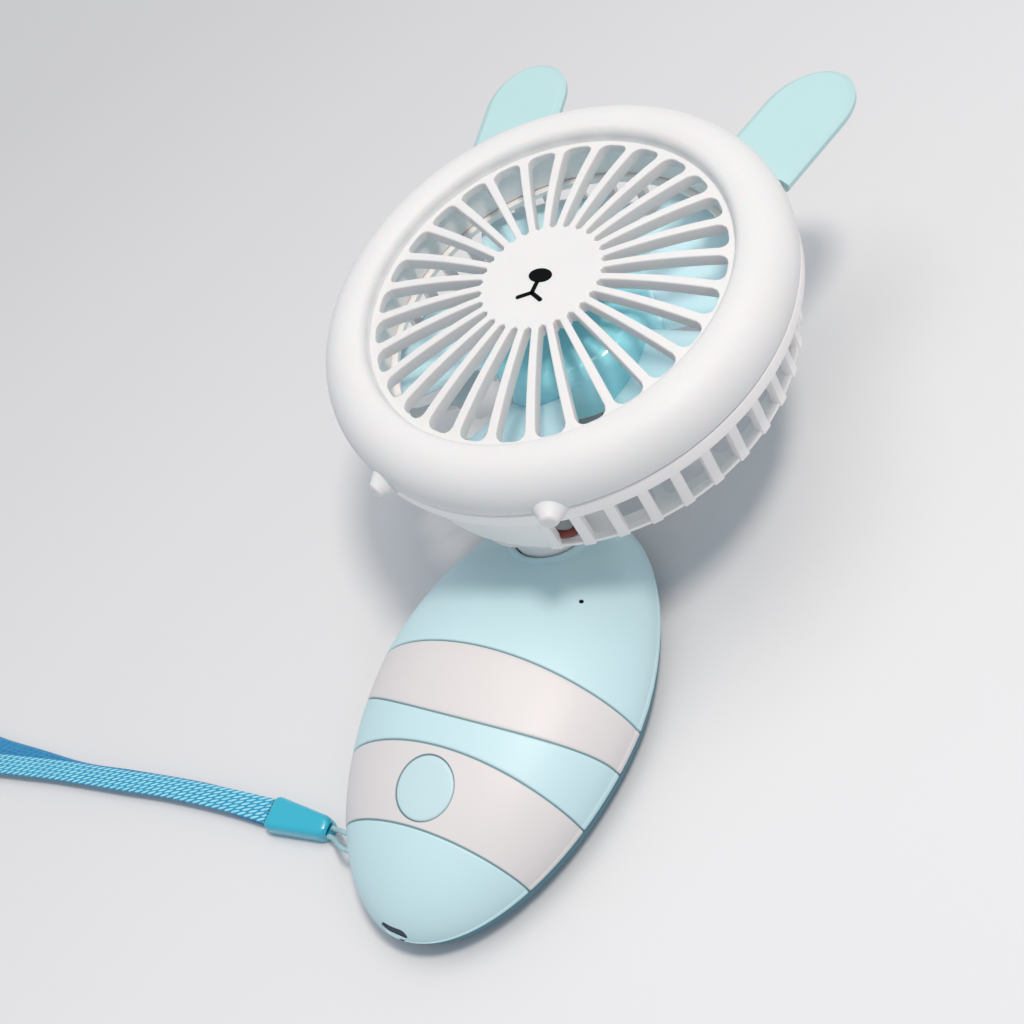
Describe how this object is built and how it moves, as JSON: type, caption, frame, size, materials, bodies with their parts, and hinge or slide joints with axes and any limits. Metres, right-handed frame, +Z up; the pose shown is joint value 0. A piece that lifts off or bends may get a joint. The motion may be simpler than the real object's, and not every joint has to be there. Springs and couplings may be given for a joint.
{
  "type": "handheld electric fan",
  "caption": "Handheld fan with a round animal-faced head on a tilting neck, an egg-shaped banded handle and a braided wrist strap.",
  "frame": {"origin": "on the flat back of the handle, under the middle of its outline, where the fan rests on a table", "axes": "+Z up out of the table, +Y along the handle toward the head, +X along the tilt hinge to the handle's right"},
  "size_m": [0.2439, 0.1993, 0.0641],
  "materials": {
    "light_blue_shell": "satin",
    "warm_white_shell": "satin",
    "head_white": "smooth",
    "back_teal": "satin",
    "blade_cyan": "translucent",
    "clamp_blue": "smooth",
    "braid_blue": "flat braid with pale flecks",
    "cord_pale": "twisted",
    "steel": "plain",
    "motor_can": "plain",
    "battery_foil": "foil",
    "board_green": "solder mask",
    "black_plastic": "plain",
    "lead_red": "insulation"
  },
  "bodies": {
    "handle": {"top_shell": "light_blue_shell", "upper_white_band": "warm_white_shell", "middle_blue_band": "light_blue_shell", "lower_white_band": "warm_white_shell", "tip_shell": "light_blue_shell", "back_shell": "back_teal", "indicator_light": "black_plastic", "circuit_board": "board_green", "tact_switch": "black_plastic", "usb_socket": "steel", "battery": "battery_foil", "hinge_bracket": "steel", "hinge_pin": "steel", "hinge_washer_left": "steel", "hinge_washer_right": "steel", "handle_screw_1": "steel", "handle_screw_2": "steel", "handle_screw_3": "steel", "handle_screw_4": "steel", "strap_cord": "cord_pale", "strap_clamp": "clamp_blue", "strap_braid": "braid_blue"},
    "head": {"neck_post": "head_white", "front_cover": "head_white", "rear_housing": "head_white", "ear_left": "light_blue_shell", "ear_right": "light_blue_shell", "motor": "motor_can", "motor_lead": "lead_red"},
    "rotor": {"rotor": "blade_cyan", "motor_shaft": "steel"},
    "button": {"button_cap": "light_blue_shell"}
  },
  "joints": [
    {"name": "head_tilt", "type": "hinge", "parent": "handle", "child": "head", "pos_m": [0, 0.038, 0.0143], "axis": [1, 0, 0], "range_deg": [-90, 0]},
    {"name": "rotor_spin", "type": "hinge", "parent": "head", "child": "rotor", "pos_m": [0, 0.0742, 0.0505], "axis": [0, 0, 1], "continuous": true},
    {"name": "button_press", "type": "slide", "parent": "handle", "child": "button", "axis": [0, 0, -1], "range_m": [0, 0.0005], "stiffness_N_per_m": 200}
  ]
}
